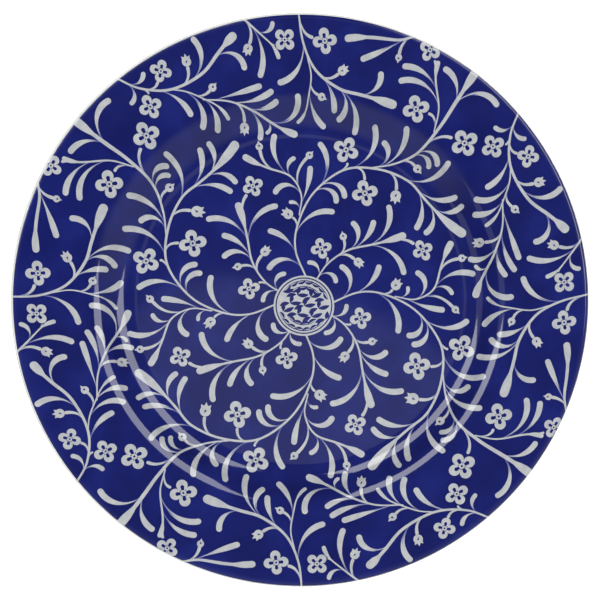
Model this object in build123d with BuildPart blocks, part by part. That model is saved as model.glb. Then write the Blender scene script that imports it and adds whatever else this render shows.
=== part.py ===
"""A round glazed earthenware plate with a flat well, a raised rim and a turned foot ring, in millimetres.

The plate is built up the way a potter builds it: a fired clay body, a coat of cobalt blue on its face, a
medallion of white slip in the middle of the well, and clear glaze over the face, the back and the foot's well.
The foot's resting face stays bare. The origin is the middle of that resting face and +Z is up.
"""

from build123d import *
import math
import os

# Driving dimensions
PLATE_DIAMETER = 270.0
SHELL_THICKNESS = 4.6  # clay and both glazes together, the same from the well to the lip
FLOOR_HEIGHT = 7.6  # top of the well above the table
WELL_RADIUS = 77.0  # where the flat of the well ends
HOLLOW_RADIUS = 19.0  # the curve that leaves the well
SHOULDER_RADIUS = 18.0  # the curve that turns over into the rim
VERGE_SLOPE = 45.0  # steepest slope between well and rim, in degrees
RIM_SLOPE = 13.0  # slope of the rim, in degrees

FOOT_OUTER_RADIUS = 80.5
FOOT_INNER_RADIUS = 75.5
FOOT_DRAFT = 12.0  # how far the foot's sides lean from upright, in degrees
FOOT_CORNER = 0.8  # rounding of the bare resting edges
GLAZE_LINE = 1.2  # the glaze on the foot's sides stops this high above the table

GLAZE_THICKNESS = 0.35  # clear glaze where it lies on the painting
COBALT_THICKNESS = 0.15
SKIN = GLAZE_THICKNESS + COBALT_THICKNESS  # from the clay to the outside everywhere

SLIP_THICKNESS = 0.1
MEDALLION_RADIUS = 14.4
MEDALLION_CENTRE = (1.0, -3.5)  # painted by eye, so it lies a little off the plate's axis
MEDALLION_RING_WIDTH = 0.9
MEDALLION_GAP = 0.6  # blue line between the ring and the disc inside it

# Centres of the arcs of the section, as (radius, height)
LIP_RADIUS = SHELL_THICKNESS / 2
PLATE_RADIUS = PLATE_DIAMETER / 2


def along(angle, length):
    """The vector of this length at this angle above the horizontal, in degrees."""
    turn = math.radians(angle)
    return Vector(length * math.cos(turn), length * math.sin(turn))


hollow_centre = Vector(WELL_RADIUS, FLOOR_HEIGHT + HOLLOW_RADIUS)
shoulder_centre = hollow_centre + along(VERGE_SLOPE - 90, HOLLOW_RADIUS + SHOULDER_RADIUS)
shoulder_end = shoulder_centre + along(RIM_SLOPE + 90, SHOULDER_RADIUS)
rim_middle = shoulder_end + along(RIM_SLOPE - 90, LIP_RADIUS)  # start of the rim, half way through it
rim_run = PLATE_RADIUS - LIP_RADIUS - rim_middle.X
lip_centre = rim_middle + Vector(rim_run, rim_run * math.tan(math.radians(RIM_SLOPE)))
PLATE_HEIGHT = lip_centre.Y + LIP_RADIUS


def face_line(depth):
    """The section of the face, this deep below its glazed surface, from the axis to the start of the lip."""
    floor = FLOOR_HEIGHT - depth
    to_face = RIM_SLOPE + 90
    Line((0, floor), (WELL_RADIUS, floor))
    CenterArc(hollow_centre, HOLLOW_RADIUS + depth, -90, VERGE_SLOPE)
    CenterArc(shoulder_centre, SHOULDER_RADIUS - depth, VERGE_SLOPE + 90, RIM_SLOPE - VERGE_SLOPE)
    Line(
        shoulder_centre + along(to_face, SHOULDER_RADIUS - depth),
        lip_centre + along(to_face, LIP_RADIUS - depth),
    )


def shell_outline(depth):
    """The closed section of the plate without its foot, this deep below its glazed surface all round."""
    face_line(depth)
    CenterArc(lip_centre, LIP_RADIUS - depth, RIM_SLOPE + 90, -180)
    face_line(SHELL_THICKNESS - depth)
    Line((0, FLOOR_HEIGHT - SHELL_THICKNESS + depth), (0, FLOOR_HEIGHT - depth))


def foot_outline(outside, bottom):
    """The closed section of the foot ring, grown this far outside its clay, down to this height."""
    top = FLOOR_HEIGHT - SHELL_THICKNESS / 2
    lean = math.tan(math.radians(FOOT_DRAFT))
    low = lean * bottom
    high = lean * top
    Polyline(
        (FOOT_INNER_RADIUS - outside - low, bottom),
        (FOOT_OUTER_RADIUS + outside + low, bottom),
        (FOOT_OUTER_RADIUS + outside + high, top),
        (FOOT_INNER_RADIUS - outside - high, top),
        close=True,
    )


def above_middle():
    """The closed region over the middle of the shell's thickness, which parts the face from the back."""
    reach = PLATE_RADIUS + 1
    ceiling = PLATE_HEIGHT + 1
    face_line(LIP_RADIUS)
    Polyline(
        lip_centre,
        (reach, lip_centre.Y),
        (reach, ceiling),
        (0, ceiling),
        (0, FLOOR_HEIGHT - LIP_RADIUS),
    )


with BuildPart() as clay_body:
    with BuildSketch(Plane.XZ) as clay_section:
        with BuildLine():
            shell_outline(SKIN)
        make_face()
        with BuildLine():
            foot_outline(0, 0)
        make_face()
        fillet(clay_section.vertices().group_by(Axis.Y)[0], FOOT_CORNER)
    revolve(axis=Axis.Z)

with BuildPart() as cobalt_ground:
    with BuildSketch(Plane.XZ) as cobalt_section:
        with BuildLine():
            face_line(GLAZE_THICKNESS)
            face_line(SKIN)
            Line(
                lip_centre + along(RIM_SLOPE + 90, LIP_RADIUS - GLAZE_THICKNESS),
                lip_centre + along(RIM_SLOPE + 90, LIP_RADIUS - SKIN),
            )
            Line((0, FLOOR_HEIGHT - SKIN), (0, FLOOR_HEIGHT - GLAZE_THICKNESS))
        make_face()
    revolve(axis=Axis.Z)

with BuildPart() as medallion_slip:
    with BuildSketch(Plane.XY.offset(FLOOR_HEIGHT - GLAZE_THICKNESS)) as medallion_shape:
        with Locations(MEDALLION_CENTRE):
            Circle(MEDALLION_RADIUS)
            Circle(MEDALLION_RADIUS - MEDALLION_RING_WIDTH, mode=Mode.SUBTRACT)
            Circle(MEDALLION_RADIUS - MEDALLION_RING_WIDTH - MEDALLION_GAP)
    extrude(amount=SLIP_THICKNESS)

with BuildPart() as face_glaze:
    with BuildSketch(Plane.XZ) as face_glaze_section:
        with BuildLine():
            shell_outline(0)
        make_face()
        add(clay_section.sketch_local, mode=Mode.SUBTRACT)
        add(cobalt_section.sketch_local, mode=Mode.SUBTRACT)
        with BuildLine():
            above_middle()
        make_face(mode=Mode.INTERSECT)
    revolve(axis=Axis.Z)
    add(medallion_slip.part, mode=Mode.SUBTRACT)

with BuildPart() as under_glaze:
    with BuildSketch(Plane.XZ) as under_section:
        with BuildLine():
            shell_outline(0)
        make_face()
        with BuildLine():
            foot_outline(SKIN, GLAZE_LINE)
        make_face()
        add(clay_section.sketch_local, mode=Mode.SUBTRACT)
        with BuildLine():
            above_middle()
        make_face(mode=Mode.SUBTRACT)
    revolve(axis=Axis.Z)

with BuildPart() as foot_well_glaze:
    add(under_glaze.part.solids().sort_by(SortBy.VOLUME)[0])

with BuildPart() as back_glaze:
    add(under_glaze.part.solids().sort_by(SortBy.VOLUME)[-1])

nodes = {
    "clay_body": clay_body,
    "cobalt_ground": cobalt_ground,
    "medallion_slip": medallion_slip,
    "face_glaze": face_glaze,
    "back_glaze": back_glaze,
    "foot_well_glaze": foot_well_glaze,
}

os.makedirs("parts", exist_ok=True)
for name, node in nodes.items():
    node.part.label = name
    export_step(node.part, f"parts/{name}.step")
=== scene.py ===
"""Looks of the round glazed plate: its painted face, pale lip, glazed back and bare foot, on a pale floor.

Lengths on the plate are in millimetres, and become metres where a mesh is made. The room, lights and camera
are in metres. Headings and turns are in degrees, anticlockwise from +X.
"""
import math

import bpy
import numpy as np
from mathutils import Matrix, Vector
from mathutils.geometry import delaunay_2d_cdt


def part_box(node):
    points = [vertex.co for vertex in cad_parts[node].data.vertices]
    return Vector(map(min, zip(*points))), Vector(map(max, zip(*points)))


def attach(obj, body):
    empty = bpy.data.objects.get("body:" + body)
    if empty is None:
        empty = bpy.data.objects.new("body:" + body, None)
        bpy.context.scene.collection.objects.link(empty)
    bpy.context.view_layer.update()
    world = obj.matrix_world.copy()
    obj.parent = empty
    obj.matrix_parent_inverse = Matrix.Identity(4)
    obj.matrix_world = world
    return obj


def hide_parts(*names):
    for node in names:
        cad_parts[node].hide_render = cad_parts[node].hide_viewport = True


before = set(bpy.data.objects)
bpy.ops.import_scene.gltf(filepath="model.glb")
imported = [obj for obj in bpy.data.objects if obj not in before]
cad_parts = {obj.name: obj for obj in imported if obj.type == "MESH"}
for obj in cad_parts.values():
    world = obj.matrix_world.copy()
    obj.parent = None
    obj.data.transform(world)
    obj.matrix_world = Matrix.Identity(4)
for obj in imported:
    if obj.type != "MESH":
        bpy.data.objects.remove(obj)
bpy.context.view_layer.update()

MM = 0.001

# Section of the face, as in the CAD model. Its centres and ends are (radius, height).
PLATE_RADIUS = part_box("face_glaze")[1][0] / MM
PLATE_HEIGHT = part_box("face_glaze")[1][2] / MM
COATS_THICKNESS = 0.5  # cobalt and clear glaze together
FLOOR_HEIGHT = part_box("cobalt_ground")[0][2] / MM + COATS_THICKNESS
LIP_RADIUS = 2.3
WELL_RADIUS = 77.0
HOLLOW_RADIUS = 19.0
SHOULDER_RADIUS = 18.0
VERGE_SLOPE = math.radians(45)
RIM_SLOPE = math.radians(13)
HOLLOW_CENTRE = np.array([WELL_RADIUS, FLOOR_HEIGHT + HOLLOW_RADIUS])
SHOULDER_CENTRE = HOLLOW_CENTRE + (HOLLOW_RADIUS + SHOULDER_RADIUS) * np.array(
    [math.sin(VERGE_SLOPE), -math.cos(VERGE_SLOPE)]
)
VERGE_MIDDLE = WELL_RADIUS + HOLLOW_RADIUS * math.sin(VERGE_SLOPE)
SHOULDER_END = SHOULDER_CENTRE + SHOULDER_RADIUS * np.array([-math.sin(RIM_SLOPE), math.cos(RIM_SLOPE)])
LIP_CENTRE = np.array([PLATE_RADIUS - LIP_RADIUS, PLATE_HEIGHT - LIP_RADIUS])
LIP_START = LIP_CENTRE[0] - LIP_RADIUS * math.sin(RIM_SLOPE)

# Meshes of the painted face and the lip
SKIN_DEPTH = 0.3  # how deep the painted pieces reach below the surface
EDGE_POINTS = 480  # round the plate at its lip
LIP_STEPS = 8
GRID_SPACING = 4.5  # between the points of one ring of the face
WELL_RING_STEP = 7  # between the rings of the well
VERGE_RINGS = 22
RIM_RING_STEP = 5
RIM_RINGS_END = 2  # the last of them lies at least this far from the start of the lip
CLIP_MARGIN = 0.02  # between clipped strokes and the end of the cobalt
MERGE_DISTANCE = 1e-4  # points of outlines closer than this become one
EDGE_INSETS = (0.1, 0.25, 0.5, 0.85, 1.3, 1.8, 2.4, 3.2)  # of the rings inside the end of the cobalt

# The painting: one quarter of it is laid four times about the plate's axis
QUARTERS = 4
PAINTED_RADIUS = 134.15  # of the circle on the lip where the cobalt ends
EDGE_CENTRE = np.array([0.25, -0.55])  # of that circle, a little off the plate's axis
HAND_WANDER = 1.2  # how far the four copies of the pattern stray from each other
STEP = 1.0  # between the points of a brush stroke's line
FINE_STEP = 0.4  # the same for the small marks inside the medallion

# Main stems of one quarter: listed points, width at the root and at the end, and the leaf that ends
# the stem as (length, bend with left positive, width)
STEMS = {
    "well_scroll": (
        [(4, 11), (3, 26), (8, 38), (20, 50), (38, 56), (54, 51), (66, 41), (71, 30)],
        0.8,
        1.2,
        (24, 14, 4.3),
    ),
    "inner_sprig": ([(8, 9), (16, 15), (27, 18), (39, 17)], 0.7, 1.0, (16, 8, 3.5)),
    "well_side": ([(10, 42), (14, 51), (12, 61), (3, 68)], 0.6, 1.0, (12, -12, 3.2)),
    "verge_branch": ([(50, 53), (62, 51), (75, 52), (87, 59), (97, 67)], 0.6, 1.8, (17, -4, 4.0)),
    "rim_scroll": ([(125, 54), (117, 44), (113, 30), (116, 14), (123, 3)], 0.8, 1.6, (10, -8, 4.0)),
    "rim_side": ([(113, 30), (110, 23), (104, 15)], 0.6, 0.7, (12, -40, 1.8)),
    "verge_sprig": ([(105, 17), (101, 5), (94, -5), (87, -12)], 0.6, 1.2, (11, 10, 3.4)),
    "lip_branch": ([(39, 130), (37, 116), (39, 103), (47, 92), (56, 86)], 0.8, 1.5, (16, -6, 4.2)),
    "lip_side": ([(37, 110), (36, 101), (31, 91)], 0.6, 0.7, (10, -45, 1.6)),
    "edge_sprig": ([(13, 134), (17, 128), (21, 122)], 1.0, 0.7, (9, -35, 2.0)),
    "rim_filler": ([(84, 58), (89, 67), (91, 78)], 0.6, 0.9, (10, -28, 2.2)),
    "spray": ([(89, 102), (81, 103), (72, 107)], 0.9, 1.5, (15, 14, 3.2)),
}
# Four-petalled flowers: middle, turn, reach of a petal
FLOWERS = [
    ((15, 23), -4, 5.0),
    ((62, 7), 10, 5.0),
    ((44, 42), -4, 6.3),
    ((42, 65), 45, 6.2),
    ((79, 71), -6, 6.2),
    ((96, 48), 12, 6.3),
    ((108, 42), 12, 5.4),
    ((122, 32), 60, 5.0),
    ((29, 120), 30, 5.2),
    ((47, 114), -10, 5.6),
    ((93, 94), 40, 5.0),
]
# Tulips and round buds: middle, size
TULIPS = [
    ((30, 11), 1.0),
    ((5, 44), 1.1),
    ((58, 36), 1.2),
    ((89, 2), 1.0),
    ((123, 19), 1.0),
    ((51, 99), 1.0),
    ((11, 121), 1.0),
]
BUDS = [
    ((27, 25), 1.0),
    ((72, 45), 1.1),
    ((109, 11), 1.05),
    ((38, 91), 1.0),
    ((2, 79), 1.0),
    ((78, 96), 0.9),
    ((24, 68), 1.0),
]
HEAD_RADII = {"tulip": 2.6, "bud": 1.9}
LAYING_ORDER = ["leaf", "stalk", "end_leaf", "stem", "flower", "tulip", "bud"]

# Leaves grow beside the stems in rounds: spacing, longest leaf, least room left beside it
GROWTH = [
    (8.5, 22.0, 1.7),
    (6.0, 14.5, 1.45),
    (4.5, 10.0, 1.3),
]
# By what factor a leaf keeps more or less room where its head lies at these distances from the axis
CROWDING_RADII = (30, 50, 70, 90, 109, 125)
CROWDING = (1.35, 1.0, 1.1, 0.7, 1.35, 1.0)
GOLDEN = 0.618  # steps by this share spread values evenly
BRANCH_CHANGE = 0.37  # the same from one branch to the next
SHORTEST_LEAF = 5.0
LENGTH_STEP = 1.2  # between the lengths that are tried
LEAST_SHARE = 0.65  # of the longest length, where the trying starts
SHARE_SPREAD = 0.45  # by which that differs from leaf to leaf
LEAF_ANGLE = 16  # between a leaf's tail and its stem
BENDS = (50, 75, 25, 95, -25)  # how far a leaf turns outwards, the first choice first
BEND_SPREAD = 50  # by which that differs from leaf to leaf
BEND_BACK = 15  # taken off again, so that some leaves bend less
BEND_GROWTH = 1.25  # a stroke bends more towards its end
THIN_LEAF = 0.95  # width of a leaf of no length
LEAF_WIDENING = 0.12  # what each millimetre of length adds to it
WIDEST_AT = 15  # longer leaves are no wider
TAIL_SHARE = 0.16  # of a leaf's width, at its tail
HEAD_START = 0.84  # share of its length at which a leaf is widest
CROWDED_PART = 0.36  # of a leaf's length, at its tail, where strokes may come close
EDGE_MARGIN = 2.0  # between the head of a leaf and the end of the cobalt
LEAF_GAP = 1.0  # a leaf's tail starts this far from the middle of its stem
HEAD_GAP = 0.7  # between a leaf and any flower, tulip or bud
CELL = 0.5  # of the grid that measures the room between strokes
REACH = 9.0  # room beyond this is not measured

STALK_TURN = 38  # a stalk likes to leave its stem at about this angle
TURN_COST = 0.35  # millimetres of length that a degree off this angle is worth
FLOWER_GAP = 0.7  # between a stalk and its flower
BUD_GAP = 0.3
STALK_ROOT_WIDTH = 0.5
STALK_END_WIDTH = 0.6  # of a stalk of no length
STALK_WIDENING = 9  # a stalk this long is a millimetre wider
THICKEST_STALK = 1.6
LATEST_START = 0.3  # share of a stalk that may be left out beside its stem

# Parts of a flower, as shares of its reach: how far out the part's middle lies, its radius
PETAL = (0.6, 0.43)
OUTER_DROP = (0.46, 0.15)
INNER_DROP = (0.31, 0.13)
EYE_RADIUS = 0.22
PUPIL_RADIUS = 0.09
# Tips of a tulip: turn from its heading, far end
TULIP_TIPS = ((-38, 3.3), (0, 3.6), (38, 3.3))

MEDALLION_RADIUS = 14.4
MEDALLION_RING_WIDTH = 0.9
MEDALLION_GAP = 0.6  # blue line inside the ring
MEDALLION_CENTRE = np.array([1.0, -3.5])
MEDALLION_POINTS = 72
MEDALLION_MARGIN = 3  # width of the ground round it that counts as painted when leaves grow
MARK_MARGIN = 1.9  # between the sprigs and the outside of the ring
MEDALLION_SLANT = -28  # heading of its rows of sprigs
ROW_SPACING = 4.6
SPRIG_SPACING = 6.8
SPRIG_STAGGER = 2.4  # from one row to the next
SPRIG_SWAY = 14
SPRIG_LEAVES = ((-158, 4.2), (80, 3.3), (8, 4.8))  # turn and length of each leaf mark
SPRIG_LEAF_START = 0.5  # from the middle of the sprig
SPRIG_LEAF_BEND = 26
SPRIG_LEAF_WIDTH = 2.0
# Curved bands on both sides of the rows: radius, half of the angle, length and width of the leaf marks
BANDS = ((11.9, 64, 3.6, 1.1), (9.1, 46, 4.2, 1.3))
VEIN_POINTS = 24
VEIN_WIDTH = 0.5
BAND_LEAF_START = 0.3  # from the vein
BAND_LEAF_TURN = 130
BAND_LEAF_BEND = -55
BAND_LEAF_SPACING = 215  # degrees from one leaf mark to the next, times the radius of the vein
BAND_END = 14  # degrees without leaf marks at the end of a vein

GROUND = "painted_ground"
PIECE_OF_KIND = {
    "stem": "painted_stems",
    "stalk": "painted_stems",
    "leaf": "painted_leaves",
    "end_leaf": "painted_leaves",
    "flower": "painted_flowers",
    "tulip": "painted_buds",
    "bud": "painted_buds",
    "medallion": "painted_medallion",
}

# Sockets of the hard clear glaze over everything but the foot
GLAZE = {
    "Roughness": 0.45,
    "Specular IOR Level": 0.0,
    "Coat Weight": 1.0,
    "Coat Roughness": 0.06,
    "Coat IOR": 1.5,
}

# Lights that only the glaze shows: azimuth, angle from overhead, length, width, watts, distance, shape
GLAZE_LIGHTS = {
    "window_right": (23, 42, 1.3, 0.6, 13, 1.5, "RECTANGLE"),
    "window_left": (113, 44, 1.15, 0.5, 11, 1.5, "RECTANGLE"),
    "window_left_side": (158, 44, 1.1, 0.5, 1.1, 1.5, "RECTANGLE"),
    "lamp": (48, 2.5, 0.6, 0.3, 0.21, 2.0, "ELLIPSE"),
}
# The soft light overhead, which lights everything but doesn't show in the glaze
FILL_LIGHT = (0, 0, 3.0, 3.0, 92, 2.5, "RECTANGLE")

# A dim wall in front of the plate, seen only in the glaze: azimuths, angles from overhead, and the angle over
# which its glow rises from nothing at its top and at both ends
ROOM_RADIUS = 1.9
ROOM_GLOW = 0.5
ROOM_AZIMUTHS = (-185, 5)
ROOM_FROM_TOP = (12, 97)
ROOM_COLUMNS, ROOM_ROWS = 36, 24
ROOM_FADE = 30

CAMERA_TARGET = (0, 0, 0.020)
CAMERA_LEAN = (2.0, 6.5)  # off the vertical, to the left and to the front
CAMERA_SENSOR = 36
CAMERA_LENS = 127.968
CAMERA_SHIFT = (0.000425, -0.0064217)

FLOOR_SIZE = 3  # from the middle to each side
FLOOR_LEVEL = -0.0002  # just below the foot, so that the two faces don't flicker
FLOOR_GLOW = 0.35


def unit(degrees):
    """The unit vector at this heading."""
    return np.array([math.cos(math.radians(degrees)), math.sin(math.radians(degrees))])


def heading_of(direction):
    """The heading of a vector."""
    return math.degrees(math.atan2(direction[1], direction[0]))


def smooth_line(points):
    """A smooth line through a few given points."""
    p = np.array(points, float)
    p = np.vstack([2 * p[0] - p[1], p, 2 * p[-1] - p[-2]])
    pieces = []
    for a, b, c, d in zip(p, p[1:], p[2:], p[3:]):
        count = max(2, int(np.linalg.norm(c - b) / STEP))
        t = (np.arange(count) / count)[:, None]
        cubic = 3 * b - a - 3 * c + d
        square = 2 * a - 5 * b + 4 * c - d
        pieces.append(0.5 * (2 * b + (c - a) * t + square * t**2 + cubic * t**3))
    pieces.append(p[-2:-1])
    return np.vstack(pieces)


def bent_line(start, heading, length, bend, step=STEP):
    """A line that leaves start along heading and turns by bend, more towards its end."""
    count = max(6, int(length / step))
    s = (np.arange(count) + 0.5) / count
    turn = np.radians(heading + bend * s**BEND_GROWTH)
    steps = np.stack([np.cos(turn), np.sin(turn)], 1) * length / count
    return np.vstack([np.zeros(2), np.cumsum(steps, 0)]) + start


def leaf_widths(count, width):
    """Widths along a leaf, thin at its tail and full from the start of its head."""
    s = np.linspace(0, 1, count)
    swell = np.sin(np.minimum(s / HEAD_START, 1) * math.pi / 2) ** 3
    return width * (TAIL_SHARE + (1 - TAIL_SHARE) * swell)


def headings(line):
    """The unit vectors along a line."""
    d = np.gradient(line, axis=0)
    return d / np.linalg.norm(d, axis=1)[:, None]


def round_end(middle, forward, radius):
    """The points of a half circle that closes a stroke, from its right to its left."""
    fan = np.radians(np.linspace(-90, 90, 7)[1:-1])[:, None]
    left = np.array([-forward[1], forward[0]])
    return middle + radius * (np.cos(fan) * forward + np.sin(fan) * left)


def brush_outline(line, widths):
    """The closed outline of a brush stroke: both sides of its line, a round head and a round tail."""
    ahead = headings(line)
    side = np.stack([-ahead[:, 1], ahead[:, 0]], 1) * widths[:, None] / 2
    head = round_end(line[-1], ahead[-1], widths[-1] / 2)
    tail = round_end(line[0], -ahead[0], widths[0] / 2)
    return np.vstack([line - side, head, (line + side)[::-1], tail])


def turned(points, quarter):
    """Points turned by whole quarters about the origin."""
    c, s = [(1, 0), (0, 1), (-1, 0), (0, -1)][quarter % QUARTERS]
    return np.asarray(points) @ np.array([[c, s], [-s, c]])


class Painting:
    """The strokes of one quarter, and how far each spot of the whole face is from what is painted."""

    def __init__(self):
        self.strokes = []
        self.heads = []
        self.grid = np.arange(-PLATE_RADIUS, PLATE_RADIUS + CELL, CELL)
        self.space = np.full((len(self.grid), len(self.grid)), REACH)

    def cell(self, points):
        """Grid cells of these points."""
        return np.clip(np.round((points + PLATE_RADIUS) / CELL).astype(int), 0, len(self.grid) - 1)

    def claim(self, line, widths):
        """Marks the ground under a stroke as painted, in all four quarters."""
        for quarter in range(QUARTERS):
            path = turned(line, quarter)
            low = self.cell(path.min(0) - REACH)
            high = self.cell(path.max(0) + REACH) + 1
            x = self.grid[low[0] : high[0], None, None]
            y = self.grid[None, low[1] : high[1], None]
            away = np.hypot(x - path[:, 0], y - path[:, 1]) - widths / 2
            window = self.space[low[0] : high[0], low[1] : high[1]]
            np.minimum(window, away.min(2), out=window)

    def add(self, kind, line, widths):
        """Paints a stroke along a line."""
        self.strokes.append((kind, line, widths))
        self.claim(line, widths)

    def add_round(self, kind, middle, turn, size, radius):
        """Paints a flower, tulip or bud, which takes the room of a circle."""
        middle = np.array([middle], float)
        self.strokes.append((kind, middle, np.array([turn, size])))
        self.heads += [(turned(middle, quarter), radius) for quarter in range(QUARTERS)]
        self.claim(middle, np.array([2 * radius]))

    def room(self, line, widths):
        """The least space between a new stroke and what is painted already."""
        cells = self.cell(line)
        return (self.space[cells[:, 0], cells[:, 1]] - widths / 2).min()

    def clear_of_heads(self, line, widths):
        """Whether a new stroke touches no flower, tulip or bud."""
        for middle, radius in self.heads:
            gap = (np.linalg.norm(line - middle, axis=1) - widths / 2).min() - radius
            if gap <= HEAD_GAP:
                return False
        return True


def fitting_leaf(painting, root, heading, side, longest, least, vary):
    """The longest leaf from this root that keeps clear of its neighbours, or None."""
    first_length = longest * (LEAST_SHARE + SHARE_SPREAD * vary)
    for length in np.arange(first_length, SHORTEST_LEAF, -LENGTH_STEP):
        for bend in BENDS:
            turn = side * (bend + BEND_SPREAD * vary - BEND_BACK)
            line = bent_line(root, heading + side * LEAF_ANGLE, length, turn)
            line = line[int(LEAF_GAP / STEP) :]
            widths = leaf_widths(len(line), THIN_LEAF + LEAF_WIDENING * min(length, WIDEST_AT))
            distance = np.linalg.norm(line[-1])
            if distance > PAINTED_RADIUS - EDGE_MARGIN:
                continue
            free = int(len(line) * CROWDED_PART)
            needed = least * np.interp(distance, CROWDING_RADII, CROWDING)
            roomy = painting.room(line[free:], widths[free:]) >= needed
            if roomy and painting.clear_of_heads(line, widths):
                return line, widths
    return None


def grow_leaves(painting, branches):
    """Leaves leave the branches on both sides in turn, each as long as the room beside it allows."""
    for spacing, longest, least in GROWTH:
        for branch, line in enumerate(branches):
            ahead = headings(line)
            count = int(len(line) * STEP / spacing)
            for i in range(1, count + 1):
                share = (i - 0.3) / (count + 0.6)  # of the branch, clear of both of its ends
                at = min(len(line) - 1, int(share * len(line)))
                vary = (GOLDEN * i + BRANCH_CHANGE * branch) % 1
                for side in (1, -1) if i % 2 else (-1, 1):
                    leaf = fitting_leaf(painting, line[at], heading_of(ahead[at]), side, longest, least, vary)
                    if leaf:
                        painting.add("leaf", *leaf)


def best_root(branches, middle):
    """Where a stalk to this middle best leaves the branches, and the branch's direction there."""
    best = None
    for line in branches:
        ahead = headings(line)
        away = middle - line
        length = np.linalg.norm(away, axis=1)
        turn = np.degrees(np.arccos(np.clip((ahead * away).sum(1) / length, -1, 1)))
        cost = length + TURN_COST * np.abs(turn - STALK_TURN)
        i = cost.argmin()
        if best is None or cost[i] < best[0]:
            best = cost[i], line[i], ahead[i]
    return best[1:]


def add_stalk(painting, branches, middle, radius):
    """A thin stalk from a branch to this far from the middle of a flower or bud. Returns its last heading."""
    middle = np.array(middle, float)
    root, forward = best_root(branches, middle)
    distance = np.linalg.norm(middle - root)
    length = distance - radius
    knee = root + forward * distance * 0.5
    last = (middle - knee) / np.linalg.norm(middle - knee)
    end = middle - last * radius
    t = np.linspace(min(LATEST_START, LEAF_GAP / length), 1, max(6, int(length / STEP)))[:, None]
    line = root * (1 - t) ** 2 + knee * 2 * t * (1 - t) + end * t**2
    end_width = min(THICKEST_STALK, STALK_END_WIDTH + length / STALK_WIDENING)
    painting.add("stalk", line, np.linspace(STALK_ROOT_WIDTH, end_width, len(line)))
    return heading_of(last)


def add_stems(painting):
    """The main stems with their end leaves. Returns the lines that leaves and stalks may leave from."""
    branches = []
    for points, root_width, end_width, (length, bend, width) in STEMS.values():
        line = smooth_line(points)
        painting.add("stem", line, np.linspace(root_width, end_width, len(line)))
        leaf = bent_line(line[-1], heading_of(headings(line)[-1]), length, bend)
        painting.add("end_leaf", leaf, np.maximum(leaf_widths(len(leaf), width), end_width))
        branches.append(np.vstack([line, leaf[1 : len(leaf) // 2]]))
    return branches


def paint_quarter():
    """All strokes of one quarter as (kind, line, widths), in the order in which they are laid."""
    painting = Painting()
    painting.claim(np.zeros((1, 2)), np.array([2 * (MEDALLION_RADIUS + MEDALLION_MARGIN)]))
    branches = add_stems(painting)
    for middle, turn, reach in FLOWERS:
        painting.add_round("flower", middle, turn, reach, reach)
    for middle, _, reach in FLOWERS:
        add_stalk(painting, branches, middle, reach + FLOWER_GAP)
    for kind, heads in (("tulip", TULIPS), ("bud", BUDS)):
        for middle, size in heads:
            radius = HEAD_RADII[kind] * size
            heading = add_stalk(painting, branches, middle, radius + BUD_GAP)
            painting.add_round(kind, middle, heading, size, radius)
    grow_leaves(painting, branches)
    return sorted(painting.strokes, key=lambda stroke: LAYING_ORDER.index(stroke[0]))


def ring(middle, radius, count=16):
    """Points round a circle."""
    a = np.linspace(0, 2 * math.pi, count, endpoint=False)
    return np.stack([np.cos(a), np.sin(a)], 1) * radius + middle


def pointed(middle, heading, near, far, half_width):
    """A small triangle from near to far along a heading."""
    ahead, left = unit(heading), unit(heading + 90)
    wide = half_width * left
    return middle + np.array([far * ahead, near * ahead + wide, near * ahead - wide])


def flower_shapes(middle, turn, reach):
    """(outline, is white) of four petals with two blue drops each, and a dotted middle."""
    def part(out, place, count):
        distance, radius = place
        return ring(middle + out * reach * distance, reach * radius, count)

    outs = [unit(turn + 90 * k) for k in range(4)]
    shapes = [(part(out, PETAL, 16), True) for out in outs]
    for out in outs:
        shapes.append((part(out, OUTER_DROP, 12), False))
        shapes.append((part(out, INNER_DROP, 10), False))
    shapes.append((ring(middle, reach * EYE_RADIUS, 12), True))
    shapes.append((ring(middle, reach * PUPIL_RADIUS, 8), False))
    return shapes


def tulip_shapes(middle, heading, size):
    """(outline, is white) of a round cup with three tips and a blue slit."""
    shapes = [(ring(middle, 2.2 * size), True)]
    for turn, far in TULIP_TIPS:
        shapes.append((pointed(middle, heading + turn, 1.7 * size, far * size, 0.9 * size), True))
    shapes.append((pointed(middle, heading + 155, -0.4 * size, 1.1 * size, 0.45 * size), False))
    return shapes


def bud_shapes(middle, heading, size):
    """(outline, is white) of a round bud with a small tip and a blue eye."""
    return [
        (ring(middle, 1.8 * size), True),
        (pointed(middle, heading, 1.2 * size, 2.9 * size, 0.9 * size), True),
        (ring(middle + 0.4 * size * unit(heading), 0.5 * size, 8), False),
    ]


ROUND_SHAPES = {"flower": flower_shapes, "tulip": tulip_shapes, "bud": bud_shapes}


def sprig_marks():
    """(line, width) of the leaf marks in the slanting rows of sprigs, about the medallion's middle."""
    marks = []
    ahead, across = unit(MEDALLION_SLANT), unit(MEDALLION_SLANT + 90)
    for row in (-1, 0, 1):
        for place in (-2, -1, 0, 1, 2):
            middle = (SPRIG_SPACING * place + SPRIG_STAGGER * row) * ahead + ROW_SPACING * row * across
            for turn, length in SPRIG_LEAVES:
                heading = MEDALLION_SLANT + turn + SPRIG_SWAY * math.sin(2.7 * place + 1.9 * row)
                root = middle + SPRIG_LEAF_START * unit(heading)
                mark = bent_line(root, heading, length, SPRIG_LEAF_BEND, FINE_STEP)
                if np.linalg.norm(mark, axis=1).max() < MEDALLION_RADIUS - MARK_MARGIN:
                    marks.append((mark, SPRIG_LEAF_WIDTH))
    return marks


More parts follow.
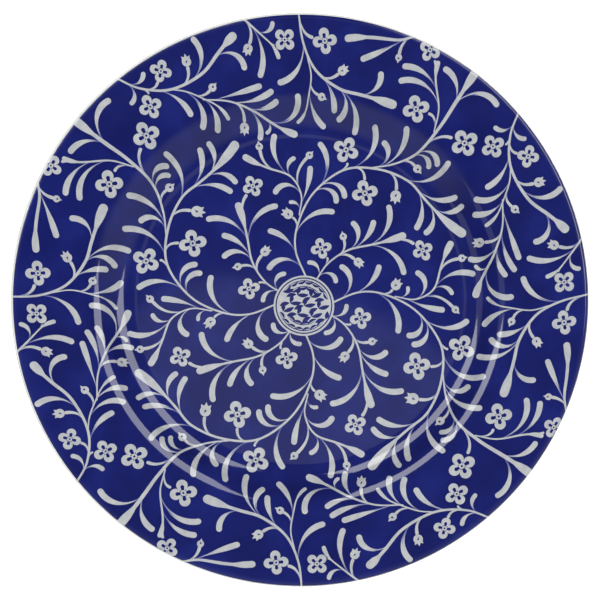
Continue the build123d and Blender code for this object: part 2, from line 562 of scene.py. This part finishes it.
def band_marks():
    """(line, width) of the veins and leaf marks of the curved bands, about the medallion's middle."""
    marks = []
    for side in (90, -90):
        for radius, reach, length, width in BANDS:
            vein_turns = np.linspace(-reach, reach, VEIN_POINTS)
            vein = np.array([radius * unit(MEDALLION_SLANT + side + turn) for turn in vein_turns])
            marks.append((vein, VEIN_WIDTH))
            for turn in np.arange(-reach, reach - BAND_END, BAND_LEAF_SPACING / radius):
                heading = MEDALLION_SLANT + side + turn
                root = (radius - BAND_LEAF_START) * unit(heading)
                leaf = bent_line(root, heading + BAND_LEAF_TURN, length, BAND_LEAF_BEND, FINE_STEP)
                marks.append((leaf, width))
    return marks


def medallion_shapes():
    """(outline, is white) of a thin ring round a white disc, which bears blue sprigs between veined bands."""
    inside_ring = MEDALLION_RADIUS - MEDALLION_RING_WIDTH
    shapes = [
        (ring(MEDALLION_CENTRE, MEDALLION_RADIUS, MEDALLION_POINTS), True),
        (ring(MEDALLION_CENTRE, inside_ring, MEDALLION_POINTS), False),
        (ring(MEDALLION_CENTRE, inside_ring - MEDALLION_GAP, MEDALLION_POINTS), True),
    ]
    for line, width in sprig_marks() + band_marks():
        widths = width * np.sin(np.linspace(0.3, 2.85, len(line)))  # thin at both ends
        shapes.append((brush_outline(line + MEDALLION_CENTRE, widths), False))
    return shapes


def drifted(points):
    """Moves the painting as a free hand does: towards the medallion in the well, and a little unevenly."""
    r = np.linalg.norm(points, axis=1)[:, None]
    x, y = points[:, :1], points[:, 1:]
    sway = np.hstack([np.sin(x / 31 + y / 47 + 0.9), np.sin(y / 29 - x / 53 + 2.2)]) * HAND_WANDER
    return points + (MEDALLION_CENTRE + sway) * np.clip(1 - r / PLATE_RADIUS, 0, 1) ** 0.5


def all_shapes():
    """(outline, piece, line) of everything painted, as it is laid. Strokes with dry tails give their line."""
    shapes = []
    for kind, line, widths in paint_quarter():
        for quarter in range(QUARTERS):
            path = turned(line, quarter)
            if kind in ROUND_SHAPES:
                turn, size = widths
                for outline, white in ROUND_SHAPES[kind](path[0], turn + 90 * quarter, size):
                    shapes.append((drifted(outline), PIECE_OF_KIND[kind] if white else GROUND, None))
            else:
                streaked = drifted(path) if kind in ("leaf", "stalk") else None
                shapes.append((drifted(brush_outline(path, widths)), PIECE_OF_KIND[kind], streaked))
    for outline, white in medallion_shapes():
        shapes.append((outline, PIECE_OF_KIND["medallion"] if white else GROUND, None))
    return shapes


def face_height(r):
    """Height of the face at these distances from the axis."""
    height = np.full(r.shape, FLOOR_HEIGHT)
    hollow = (r > WELL_RADIUS) & (r <= VERGE_MIDDLE)
    height[hollow] = HOLLOW_CENTRE[1] - np.sqrt(HOLLOW_RADIUS**2 - (r[hollow] - HOLLOW_CENTRE[0]) ** 2)
    shoulder = (r > VERGE_MIDDLE) & (r <= SHOULDER_END[0])
    height[shoulder] = SHOULDER_CENTRE[1] + np.sqrt(
        SHOULDER_RADIUS**2 - (r[shoulder] - SHOULDER_CENTRE[0]) ** 2
    )
    rim = (r > SHOULDER_END[0]) & (r <= LIP_START)
    height[rim] = SHOULDER_END[1] + (r[rim] - SHOULDER_END[0]) * math.tan(RIM_SLOPE)
    lip = r > LIP_START
    height[lip] = LIP_CENTRE[1] + np.sqrt(np.maximum(LIP_RADIUS**2 - (r[lip] - LIP_CENTRE[0]) ** 2, 0))
    return height


def face_slope(r):
    """Slope of the face at these distances from the axis, in radians."""
    slope = np.zeros(r.shape)
    hollow = (r > WELL_RADIUS) & (r <= VERGE_MIDDLE)
    slope[hollow] = np.arcsin((r[hollow] - HOLLOW_CENTRE[0]) / HOLLOW_RADIUS)
    shoulder = (r > VERGE_MIDDLE) & (r <= SHOULDER_END[0])
    slope[shoulder] = np.arcsin((SHOULDER_CENTRE[0] - r[shoulder]) / SHOULDER_RADIUS)
    slope[(r > SHOULDER_END[0]) & (r <= LIP_START)] = RIM_SLOPE
    lip = r > LIP_START
    slope[lip] = np.arcsin(np.clip((LIP_CENTRE[0] - r[lip]) / LIP_RADIUS, -1, 1))
    return slope


def face_normals(plan):
    """Unit normals of the face above these points of the plan."""
    r = np.linalg.norm(plan, axis=1)
    slope = face_slope(r)
    outward = plan / np.maximum(r, 1e-6)[:, None]
    return np.column_stack([-outward * np.sin(slope)[:, None], np.cos(slope)])


def grid_points():
    """Extra points that let the painted face follow the curves of the plate."""
    radii = list(np.arange(WELL_RING_STEP, WELL_RADIUS, WELL_RING_STEP))
    radii += list(np.linspace(WELL_RADIUS, SHOULDER_END[0], VERGE_RINGS))
    radii += list(np.arange(SHOULDER_END[0] + RIM_RING_STEP, LIP_START - RIM_RINGS_END, RIM_RING_STEP))
    points = []
    for i, r in enumerate(radii):
        count = int(2 * math.pi * r / GRID_SPACING)
        a = np.linspace(0, 2 * math.pi, count, endpoint=False) + (i % 2) * math.pi / count
        points.append(np.stack([np.cos(a), np.sin(a)], 1) * r)
    for inset in EDGE_INSETS:
        points.append(ring(EDGE_CENTRE, PAINTED_RADIUS - inset, EDGE_POINTS))
    return np.vstack(points)


def clipped(outline):
    """An outline with the points that lie beyond the end of the cobalt drawn in to it."""
    away = outline - EDGE_CENTRE
    r = np.linalg.norm(away, axis=1)[:, None]
    return EDGE_CENTRE + away * np.minimum(1, (PAINTED_RADIUS - CLIP_MARGIN) / r)


def inside(points, outline):
    """Which points lie inside a closed outline."""
    x, y = points[:, 0, None], points[:, 1, None]
    x0, y0 = outline.T
    x1, y1 = np.roll(outline, -1, axis=0).T
    crosses = (y0 > y) != (y1 > y)
    slope = (x1 - x0) / np.where(y1 == y0, 1, y1 - y0)
    rightward = crosses & (x < x0 + (y - y0) * slope)
    return (rightward * np.sign(y1 - y0)).sum(1) != 0


def top_outlines(middles, outlines):
    """The number of the last outline that each point lies inside, counted from 1, or 0."""
    order = np.argsort(middles[:, 0])
    sorted_x = middles[order, 0]
    top = np.zeros(len(middles), int)
    for i, outline in enumerate(outlines, 1):
        low, high = outline.min(0), outline.max(0)
        near = order[np.searchsorted(sorted_x, low[0]) : np.searchsorted(sorted_x, high[0])]
        near = near[(middles[near, 1] > low[1]) & (middles[near, 1] < high[1])]
        top[near[inside(middles[near], outline)]] = i
    return top


def divide_face(shapes):
    """Parts the face along the outlines of the shapes: plan points, triangles and the top shape on each."""
    outlines = [ring(EDGE_CENTRE, PAINTED_RADIUS, EDGE_POINTS)]
    outlines += [clipped(outline) for outline, _, _ in shapes]
    edges = []
    start = 0
    for outline in outlines:
        count = len(outline)
        edges += [(start + i, start + (i + 1) % count) for i in range(count)]
        start += count
    plan = [Vector(p) for p in np.vstack(outlines + [grid_points()]).tolist()]
    verts, _, triangles, _, _, _ = delaunay_2d_cdt(plan, edges, [], 0, MERGE_DISTANCE, False)
    plan = np.array([v[:] for v in verts])
    triangles = np.array(triangles)
    return plan, triangles, top_outlines(plan[triangles].mean(1), outlines[1:])


def border_edges(triangles):
    """The edges that only one of these triangles has, each in that triangle's direction."""
    edges = {}
    for a, b, c in triangles:
        for pair in ((a, b), (b, c), (c, a)):
            edges[pair] = True
    return [(a, b) for a, b in edges if (b, a) not in edges]


def brush_coordinates(plan, line):
    """Distance along a stroke's line, from 0 to 1, and across it in millimetres, of points of the plan."""
    away = plan[:, None] - line[None]
    nearest = np.linalg.norm(away, axis=2).argmin(1)
    ahead = headings(line)[nearest]
    offset = plan - line[nearest]
    across = ahead[:, 0] * offset[:, 1] - ahead[:, 1] * offset[:, 0]
    along = (ahead * offset).sum(1)
    return (nearest + along / STEP) / (len(line) - 1), across


def add_brush_attribute(mesh, plan, triangles, owners, shapes):
    """Gives each corner its place along and across its stroke, and a value that differs between strokes."""
    brush = np.ones((len(triangles) * 3, 3))
    for shape in np.unique(owners):
        line = shapes[shape - 1][2] if shape else None
        rows = np.flatnonzero(owners == shape)
        corners = (rows[:, None] * 3 + np.arange(3)).ravel()
        if line is not None:
            brush[corners, 0], brush[corners, 1] = brush_coordinates(plan[triangles[rows].ravel()], line)
        brush[corners, 2] = shape * GOLDEN % 1
    values = np.zeros((len(mesh.loops), 3))
    values[: len(brush)] = brush
    layer = mesh.attributes.new("brush", "FLOAT_VECTOR", "CORNER")
    layer.data.foreach_set("vector", values.ravel())


def set_face_normals(mesh, normals, triangles):
    """Gives the top and the bottom of a skin the face's own normals, and leaves its walls flat."""
    corner_normals = [normals[triangles.ravel()], -normals[triangles[:, ::-1].ravel()]]
    wall_normals = [p.normal for p in list(mesh.polygons)[2 * len(triangles) :] for _ in range(4)]
    if wall_normals:
        corner_normals.append(np.array(wall_normals))
    mesh.polygons.foreach_set("use_smooth", [True] * len(mesh.polygons))
    mesh.normals_split_custom_set(np.vstack(corner_normals).tolist())


def add_object(name, data):
    """A new object in the scene."""
    item = bpy.data.objects.new(name, data)
    bpy.context.collection.objects.link(item)
    return item


def painted_piece(name, plan, triangles, owners, shapes):
    """A thin closed skin over some of the face's triangles, with the face's own normals."""
    used, index = np.unique(triangles, return_inverse=True)
    triangles = index.reshape(triangles.shape)
    plan = plan[used]
    normals = face_normals(plan)
    top = np.column_stack([plan, face_height(np.linalg.norm(plan, axis=1))])
    bottom = top - normals * SKIN_DEPTH
    count = len(top)
    flipped = triangles[:, ::-1] + count
    walls = [(b, a, a + count, b + count) for a, b in border_edges(triangles)]
    faces = triangles.tolist() + flipped.tolist() + walls
    mesh = bpy.data.meshes.new(name)
    mesh.from_pydata((np.vstack([top, bottom]) * MM).tolist(), [], faces)
    add_brush_attribute(mesh, plan, triangles, owners, shapes)
    set_face_normals(mesh, normals, triangles)
    piece = add_object(name, mesh)
    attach(piece, "root")
    return piece


def paint_face():
    """Every painted piece of the face, by name."""
    shapes = all_shapes()
    plan, triangles, owners = divide_face(shapes)
    names = np.array([GROUND] + [piece for _, piece, _ in shapes])[owners]
    pieces = {}
    for name in sorted(set(names)):
        mine = names == name
        pieces[name] = painted_piece(name, plan, triangles[mine], owners[mine], shapes)
    return pieces


def lip_piece():
    """The pale edge of the lip, from the end of the cobalt to the back glaze."""
    verts = []
    for x, y in ring(EDGE_CENTRE, PAINTED_RADIUS, EDGE_POINTS):
        distance = math.hypot(x, y)
        start = math.asin((distance - LIP_CENTRE[0]) / LIP_RADIUS)
        angles = np.linspace(start, math.pi / 2, LIP_STEPS)
        section = [(LIP_RADIUS, a) for a in angles] + [(LIP_RADIUS - SKIN_DEPTH, a) for a in angles[::-1]]
        for radius, a in section:
            r, z = LIP_CENTRE + radius * np.array([math.sin(a), math.cos(a)])
            verts.append((r * x / distance * MM, r * y / distance * MM, z * MM))
    faces = []
    size = 2 * LIP_STEPS
    for i in range(EDGE_POINTS):
        here, there = i * size, (i + 1) % EDGE_POINTS * size
        for j in range(size):
            k = (j + 1) % size
            faces.append((here + j, here + k, there + k, there + j))
    mesh = bpy.data.meshes.new("pale_lip")
    mesh.from_pydata(verts, [], faces)
    mesh.polygons.foreach_set("use_smooth", [True] * len(faces))
    piece = add_object("pale_lip", mesh)
    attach(piece, "root")
    return piece


def material(name):
    """A new node material, with its tree and shader."""
    mat = bpy.data.materials.new(name)
    mat.use_nodes = True
    return mat, mat.node_tree, mat.node_tree.nodes["Principled BSDF"]


def set_sockets(node, constants):
    """Sets the constants on a node's own sockets."""
    for socket, value in constants.items():
        node.inputs[socket].default_value = value


def srgb(r, g, b):
    """Linear colour of an 8-bit sRGB colour."""
    def linear(c):
        c /= 255
        return c / 12.92 if c < 0.04045 else ((c + 0.055) / 1.055) ** 2.4
    return (linear(r), linear(g), linear(b), 1)


def noise(tree, scale, detail):
    """A noise texture in object coordinates."""
    coordinates = tree.nodes.new("ShaderNodeTexCoord")
    texture = tree.nodes.new("ShaderNodeTexNoise")
    set_sockets(texture, {"Scale": scale, "Detail": detail})
    tree.links.new(coordinates.outputs["Object"], texture.inputs["Vector"])
    return texture


def ramp(tree, source, stops):
    """A colour ramp of (position, colour) stops fed by a socket."""
    node = tree.nodes.new("ShaderNodeValToRGB")
    elements = node.color_ramp.elements
    while len(elements) < len(stops):
        elements.new(0.5)
    for element, (position, colour) in zip(elements, stops):
        element.position = position
        element.color = colour
    tree.links.new(source, node.inputs["Fac"])
    return node


def mottled_material(name, scale, detail, stops):
    """A material whose colour wanders between the stops. Returns it with its shader."""
    mat, tree, shader = material(name)
    colours = ramp(tree, noise(tree, scale, detail).outputs["Fac"], stops)
    tree.links.new(colours.outputs["Color"], shader.inputs["Base Color"])
    return mat, shader


def cobalt_material():
    """Cobalt blue under clear glaze, a little uneven as a wide brush lays it."""
    stops = [(0.35, srgb(22, 28, 93)), (0.5, srgb(24, 31, 101)), (0.68, srgb(28, 37, 112))]
    mat, shader = mottled_material("brushed_cobalt", 55.0, 4.0, stops)
    set_sockets(shader, GLAZE)
    return mat


def bristle_streaks(tree, brush):
    """A texture drawn out along each stroke as bristles leave it, and different in every stroke."""
    stretch = tree.nodes.new("ShaderNodeVectorMath")
    stretch.operation = "MULTIPLY"
    stretch.inputs[1].default_value = (1.6, 2.6, 40.0)
    streaks = tree.nodes.new("ShaderNodeTexNoise")
    set_sockets(streaks, {"Scale": 1.0, "Detail": 1.0})
    tree.links.new(brush.outputs["Vector"], stretch.inputs[0])
    tree.links.new(stretch.outputs["Vector"], streaks.inputs["Vector"])
    return streaks


def brush_load(tree, brush):
    """How much slip the brush still holds, from a stroke's tail to its head."""
    place = tree.nodes.new("ShaderNodeSeparateXYZ")
    load = tree.nodes.new("ShaderNodeMapRange")
    set_sockets(load, {"From Min": 0.0, "From Max": 0.85, "To Min": -0.16, "To Max": 0.5})
    tree.links.new(brush.outputs["Vector"], place.inputs["Vector"])
    tree.links.new(place.outputs["X"], load.inputs["Value"])
    return load


def bare_share(tree):
    """How much of the blue shows through the slip: streaks where the brush's load runs low."""
    brush = tree.nodes.new("ShaderNodeAttribute")
    brush.attribute_name = "brush"
    streaks = bristle_streaks(tree, brush)
    load = brush_load(tree, brush)
    lack = tree.nodes.new("ShaderNodeMath")
    lack.operation = "SUBTRACT"
    bare = tree.nodes.new("ShaderNodeMapRange")
    set_sockets(bare, {"From Min": 0.38, "From Max": 0.56})
    tree.links.new(streaks.outputs["Fac"], lack.inputs[0])
    tree.links.new(load.outputs["Result"], lack.inputs[1])
    tree.links.new(lack.outputs["Value"], bare.inputs["Value"])
    return bare


def slip_material():
    """Greyish white slip under clear glaze, streaked with the blue below where a stroke's tail runs dry."""
    mat, tree, shader = material("white_slip")
    set_sockets(shader, GLAZE)
    mottle = noise(tree, 260.0, 3.0)
    white = ramp(tree, mottle.outputs["Fac"], [(0.3, srgb(176, 179, 184)), (0.7, srgb(194, 196, 197))])
    blend = tree.nodes.new("ShaderNodeMix")
    blend.data_type = "RGBA"
    blend.inputs["B"].default_value = srgb(98, 104, 160)
    tree.links.new(bare_share(tree).outputs["Result"], blend.inputs["Factor"])
    tree.links.new(white.outputs["Color"], blend.inputs["A"])
    tree.links.new(blend.outputs["Result"], shader.inputs["Base Color"])
    return mat


def pale_material():
    """Clear glaze on pale clay, for the back and the edge of the lip."""
    stops = [(0.3, srgb(220, 222, 218)), (0.7, srgb(233, 234, 230))]
    mat, shader = mottled_material("pale_glaze", 90.0, 3.0, stops)
    set_sockets(shader, GLAZE)
    return mat


def clay_material():
    """Bare fired clay on the foot's resting face."""
    stops = [(0.3, srgb(208, 199, 184)), (0.7, srgb(226, 219, 206))]
    mat, shader = mottled_material("bare_clay", 900.0, 4.0, stops)
    shader.inputs["Roughness"].default_value = 0.85
    return mat


def dress(piece, mat):
    """Gives a piece its one material."""
    piece.data.materials.clear()
    piece.data.materials.append(mat)


def finish_plate():
    """Paints the face, adds the lip and gives every piece and every CAD node that shows its material."""
    pieces = paint_face()
    cobalt = cobalt_material()
    slip = slip_material()
    for name, piece in pieces.items():
        dress(piece, cobalt if name == GROUND else slip)
    lip = lip_piece()
    pale = pale_material()
    dress(lip, pale)
    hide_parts("cobalt_ground", "face_glaze")
    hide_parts("medallion_slip")
    for name, mat in (("back_glaze", pale), ("foot_well_glaze", pale), ("clay_body", clay_material())):
        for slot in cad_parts[name].material_slots:
            slot.material = mat


def add_camera():
    """The camera one metre above the plate, a little to the left and to the front of its axis."""
    data = bpy.data.cameras.new("camera")
    camera = add_object("camera", data)
    left, front = [math.tan(math.radians(lean)) for lean in CAMERA_LEAN]
    away = Vector((-left, -front, 1)).normalized()
    camera.location = Vector(CAMERA_TARGET) + away
    camera.rotation_euler = away.to_track_quat("Z", "Y").to_euler()
    data.sensor_width = CAMERA_SENSOR
    data.lens = CAMERA_LENS
    data.shift_x, data.shift_y = CAMERA_SHIFT
    bpy.context.scene.camera = camera


def add_light(name, azimuth, from_top, length, width, power, distance, shape):
    """An area light that faces the plate."""
    data = bpy.data.lights.new(name, "AREA")
    data.shape = shape
    data.size = length
    data.size_y = width
    data.energy = power
    light = add_object(name, data)
    turn, lean = math.radians(azimuth), math.radians(from_top)
    out = Vector((math.cos(turn), math.sin(turn), 0))
    away = out * math.sin(lean) + Vector((0, 0, 1)) * math.cos(lean)
    light.location = away * distance
    light.rotation_euler = away.to_track_quat("Z", "Y").to_euler()
    return light


def smooth_step(share):
    """Rises smoothly from 0 to 1 as the share does, and stays there."""
    share = min(1, share)
    return share * share * (3 - 2 * share)


def room_material():
    """A black surface that glows as its points say."""
    mat, tree, shader = material("dim_wall")
    black, white = (0, 0, 0, 1), (1, 1, 1, 1)
    set_sockets(shader, {"Base Color": black, "Specular IOR Level": 0.0, "Emission Color": white})
    attribute = tree.nodes.new("ShaderNodeAttribute")
    attribute.attribute_name = "glow"
    tree.links.new(attribute.outputs["Fac"], shader.inputs["Emission Strength"])
    return mat


def add_room():
    """A dim curved wall in front of the plate, which fades out towards its top and both ends."""
    first, last = ROOM_AZIMUTHS
    top, bottom = ROOM_FROM_TOP
    verts, glow = [], []
    for azimuth in np.linspace(first, last, ROOM_COLUMNS + 1):
        for from_top in np.linspace(top, bottom, ROOM_ROWS + 1):
            turn, lean = math.radians(azimuth), math.radians(from_top)
            out = ROOM_RADIUS * math.sin(lean)
            verts.append((out * math.cos(turn), out * math.sin(turn), ROOM_RADIUS * math.cos(lean)))
            below_top = smooth_step((from_top - top) / ROOM_FADE)
            from_ends = smooth_step(min(azimuth - first, last - azimuth) / ROOM_FADE)
            glow.append(ROOM_GLOW * below_top * from_ends)
    faces = []
    for i in range(ROOM_COLUMNS):
        for j in range(ROOM_ROWS):
            a = i * (ROOM_ROWS + 1) + j
            faces.append((a, a + 1, a + ROOM_ROWS + 2, a + ROOM_ROWS + 1))
    mesh = bpy.data.meshes.new("room")
    mesh.from_pydata(verts, [], faces)
    mesh.attributes.new("glow", "FLOAT", "POINT").data.foreach_set("value", glow)
    mesh.materials.append(room_material())
    room = add_object("room", mesh)
    room.visible_camera = False
    room.visible_diffuse = False
    room.visible_shadow = False


def add_floor():
    """The pale floor that the plate stands on."""
    corners = [(-1, -1), (1, -1), (1, 1), (-1, 1)]
    mesh = bpy.data.meshes.new("floor")
    mesh.from_pydata([(x * FLOOR_SIZE, y * FLOOR_SIZE, FLOOR_LEVEL) for x, y in corners], [], [(0, 1, 2, 3)])
    mat, _, shader = material("pale_floor")
    pale, white = (0.95, 0.95, 0.95, 1), (1, 1, 1, 1)
    set_sockets(
        shader,
        {"Base Color": pale, "Roughness": 0.9, "Emission Color": white, "Emission Strength": FLOOR_GLOW},
    )
    mesh.materials.append(mat)
    floor = add_object("floor", mesh)


def set_world():
    """A nearly black world and plain colours."""
    scene = bpy.context.scene
    world = scene.world or bpy.data.worlds.new("world")
    scene.world = world
    world.use_nodes = True
    world.node_tree.nodes["Background"].inputs["Color"].default_value = (0.05, 0.05, 0.05, 1)
    scene.view_settings.view_transform = "Standard"


finish_plate()
add_camera()
for light_name, light_values in GLAZE_LIGHTS.items():
    add_light(light_name, *light_values).visible_diffuse = False
add_light("fill", *FILL_LIGHT).visible_glossy = False
add_room()
add_floor()
set_world()
